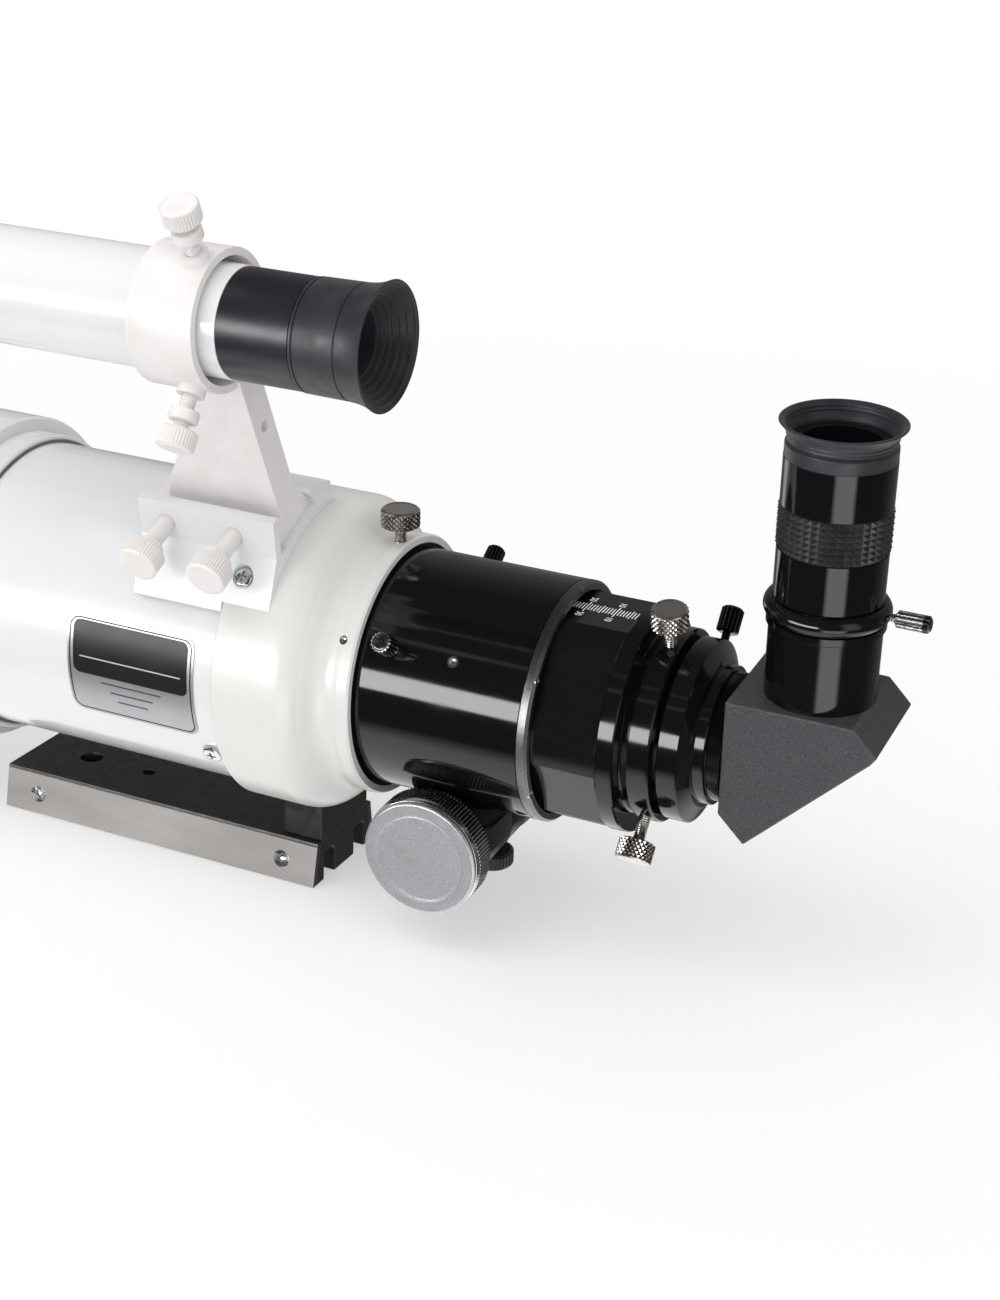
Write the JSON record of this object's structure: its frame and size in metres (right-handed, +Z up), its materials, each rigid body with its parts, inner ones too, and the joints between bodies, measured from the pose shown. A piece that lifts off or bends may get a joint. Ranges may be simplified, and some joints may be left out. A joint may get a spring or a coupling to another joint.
{
  "type": "refractor telescope",
  "caption": "Short refractor telescope with sliding dew shield, rotating rack-and-pinion focuser, star diagonal, eyepiece, finder scope and dovetail rail.",
  "frame": {"origin": "on the optical axis, at the rear face of the focuser's end ring", "axes": "+X along the optical axis towards the eyepiece end, +Z up away from the dovetail rail, -Y towards the finder side"},
  "size_m": [0.4651, 0.1494, 0.245],
  "materials": {
    "tube_paint": "high gloss white paint",
    "casting_paint": "satin gloss cream white paint",
    "finder_paint": "gloss white paint",
    "ivory_plastic": "satin moulded ivory plastic",
    "black_anodised": "gloss black anodised",
    "draw_black": "semi-gloss black anodised with white scale",
    "ring_grey": "satin grained grey",
    "silver_satin": "bead blasted silver anodised",
    "nickel": "bright nickel with diamond knurl",
    "black_chrome": "black plated, ribbed heads",
    "black_plastic": "ribbed black plastic",
    "bright_screws": "chromed cross-head screws",
    "rail_black": "satin black anodised, fine grain",
    "brushed_strip": "lengthwise brushed stainless steel",
    "diagonal_black": "fine wrinkle black paint",
    "eyepiece_black": "mirror gloss black",
    "black_rubber": "matte rubber",
    "lens_glass": "coated optical glass",
    "mirror": "first-surface mirror",
    "felt": "black felt",
    "baffle_black": "flat black",
    "rack_brass": "machined brass",
    "guide_plastic": "white bearing plastic",
    "label_foil": "satin silver foil with a dark panel"
  },
  "bodies": {
    "ota": {"tube": "tube_paint", "rear_casting": "casting_paint", "casting_screws": "bright_screws", "label_plate": "label_foil", "lens_cell": "black_anodised", "crown_lens": "lens_glass", "flint_lens": "lens_glass", "lens_retainer": "black_anodised", "baffles": "baffle_black", "dovetail_rail": "rail_black", "rail_strips": "brushed_strip", "rail_screws": "brushed_strip", "rail_foot": "rail_black", "finder_shoe": "casting_paint", "shoe_screws": "bright_screws"},
    "shield": {"dew_shield": "tube_paint", "dew_shield_felt": "felt"},
    "rotation_lock": {"rotation_lock": "nickel"},
    "clamp_front": {"shoe_clamp_front": "ivory_plastic"},
    "clamp_rear": {"shoe_clamp_rear": "ivory_plastic"},
    "bracket": {"finder_bracket": "ivory_plastic"},
    "aim_near": {"aim_screw_near": "ivory_plastic"},
    "aim_far": {"aim_screw_far": "ivory_plastic"},
    "aim_top": {"aim_screw_top": "ivory_plastic"},
    "finder_pivot": {"finder_o_ring": "black_rubber"},
    "finder": {"finder_tube": "finder_paint", "finder_objective": "lens_glass", "finder_rear_barrel": "black_anodised"},
    "finder_eyepiece": {"finder_eyecup": "black_rubber", "finder_eye_lens": "lens_glass"},
    "focuser": {"focuser_housing": "black_anodised", "focuser_end_ring": "ring_grey", "end_ring_screws": "bright_screws", "drawtube_guides": "guide_plastic", "pinion_block": "draw_black", "focuser_screws": "bright_screws"},
    "side_lock_near": {"side_lock_near": "black_chrome"},
    "side_lock_far": {"side_lock_far": "black_chrome"},
    "tension": {"tension_knob": "black_plastic"},
    "draw": {"drawtube": "draw_black", "rack": "rack_brass", "visual_back": "black_anodised", "clamp_band": "rack_brass"},
    "pinion": {"pinion_shaft": "bright_screws", "focus_knobs": "silver_satin"},
    "clamp_upper": {"clamp_screw_upper": "nickel"},
    "clamp_lower": {"clamp_screw_lower": "nickel"},
    "adapter": {"eyepiece_adapter": "black_anodised"},
    "adapter_screw": {"adapter_screw": "black_chrome"},
    "diagonal": {"diagonal_body": "diagonal_black", "diagonal_cover": "diagonal_black", "diagonal_mirror": "mirror", "diagonal_nosepiece": "bright_screws", "eyepiece_holder": "black_anodised"},
    "holder_screw": {"holder_screw": "black_chrome"},
    "eyepiece": {"eyepiece_barrel": "bright_screws", "eyepiece_body": "eyepiece_black", "eyepiece_grip": "black_rubber", "eyepiece_lenses": "lens_glass", "eyepiece_eyecup": "black_rubber"}
  },
  "joints": [
    {"name": "dew_shield_slide", "type": "slide", "parent": "ota", "child": "shield", "axis": [-1, 0, 0], "range_m": [0, 0.085]},
    {"name": "rotation_lock_turn", "type": "hinge", "parent": "ota", "child": "rotation_lock", "pos_m": [-0.0637, -0.00314, 0.0499], "axis": [0, -0.0628, 0.998], "range_deg": [0, 720]},
    {"name": "shoe_clamp_front_turn", "type": "hinge", "parent": "ota", "child": "clamp_front", "pos_m": [-0.128, -0.02883, 0.05658], "axis": [0, -0.891, -0.454], "range_deg": [0, 720]},
    {"name": "shoe_clamp_rear_turn", "type": "hinge", "parent": "ota", "child": "clamp_rear", "pos_m": [-0.103, -0.02883, 0.05658], "axis": [0, -0.891, -0.454], "range_deg": [0, 720]},
    {"name": "finder_slide", "type": "slide", "parent": "ota", "child": "bracket", "axis": [1, 0, 0], "range_m": [0, 0.03]},
    {"name": "aim_near_turn", "type": "hinge", "parent": "bracket", "child": "aim_near", "pos_m": [-0.0965, -0.06401, 0.12563], "axis": [0, -0.5446, -0.8387], "range_deg": [0, 720]},
    {"name": "aim_far_turn", "type": "hinge", "parent": "bracket", "child": "aim_far", "pos_m": [-0.0965, -0.06401, 0.12563], "axis": [0, 0.9986, -0.0523], "range_deg": [0, 720]},
    {"name": "aim_top_turn", "type": "hinge", "parent": "bracket", "child": "aim_top", "pos_m": [-0.0965, -0.06401, 0.12563], "axis": [0, -0.454, 0.891], "range_deg": [0, 720]},
    {"name": "finder_pitch", "type": "hinge", "parent": "bracket", "child": "finder_pivot", "pos_m": [-0.1095, -0.06401, 0.12563], "axis": [0, -0.891, -0.454], "range_deg": [-1, 1]},
    {"name": "finder_yaw", "type": "hinge", "parent": "finder_pivot", "child": "finder", "pos_m": [-0.1095, -0.06401, 0.12563], "axis": [0, -0.454, 0.891], "range_deg": [-1, 1]},
    {"name": "finder_focus_turn", "type": "hinge", "parent": "finder", "child": "finder_eyepiece", "pos_m": [-0.06, -0.06401, 0.12563], "axis": [1, 0, 0], "range_deg": [-180, 180]},
    {"name": "focuser_rotation", "type": "hinge", "parent": "ota", "child": "focuser", "pos_m": [-0.06, 0, 0], "axis": [1, 0, 0], "continuous": true},
    {"name": "side_lock_near_turn", "type": "hinge", "parent": "focuser", "child": "side_lock_near", "pos_m": [-0.0489, -0.03877, 0.02284], "axis": [0, -0.8616, 0.5075], "range_deg": [0, 720]},
    {"name": "side_lock_far_turn", "type": "hinge", "parent": "focuser", "child": "side_lock_far", "pos_m": [-0.0489, 0.03664, 0.02613], "axis": [0, 0.8141, 0.5807], "range_deg": [0, 720]},
    {"name": "tension_turn", "type": "hinge", "parent": "focuser", "child": "tension", "pos_m": [-0.028, 0.00262, -0.05994], "axis": [0, 0.0436, -0.999], "range_deg": [0, 720]},
    {"name": "drawtube_slide", "type": "slide", "parent": "focuser", "child": "draw", "axis": [1, 0, 0], "range_m": [-0.021, 0.04]},
    {"name": "pinion_turn", "type": "hinge", "parent": "focuser", "child": "pinion", "pos_m": [-0.0334, 0.00193, -0.04416], "axis": [0, 0.999, 0.0436], "range_deg": [-180, 340]},
    {"name": "clamp_upper_turn", "type": "hinge", "parent": "draw", "child": "clamp_upper", "pos_m": [0.0335, -0.01016, 0.03662], "axis": [0, -0.2672, 0.9636], "range_deg": [0, 720]},
    {"name": "clamp_lower_turn", "type": "hinge", "parent": "draw", "child": "clamp_lower", "pos_m": [0.0335, -0.02339, -0.02994], "axis": [0, -0.6157, -0.788], "range_deg": [0, 720]},
    {"name": "adapter_slide", "type": "slide", "parent": "draw", "child": "adapter", "axis": [1, 0, 0], "range_m": [0, 0.014]},
    {"name": "adapter_screw_turn", "type": "hinge", "parent": "adapter", "child": "adapter_screw", "pos_m": [0.0425, 0.02106, 0.02795], "axis": [0, 0.6018, 0.7986], "range_deg": [0, 720]},
    {"name": "diagonal_rotation", "type": "hinge", "parent": "adapter", "child": "diagonal", "pos_m": [0.0566, 0, 0], "axis": [1, 0, 0], "continuous": true},
    {"name": "holder_screw_turn", "type": "hinge", "parent": "diagonal", "child": "holder_screw", "pos_m": [0.0803, -0.00376, 0.05126], "axis": [1, 0, 0], "range_deg": [0, 720]},
    {"name": "eyepiece_slide", "type": "slide", "parent": "diagonal", "child": "eyepiece", "axis": [0, -0.0732, 0.9973], "range_m": [0, 0.028]}
  ],
  "couplings": [
    {"joint": "pinion_turn", "follows": "drawtube_slide", "rad_per_m": 142.86}
  ]
}
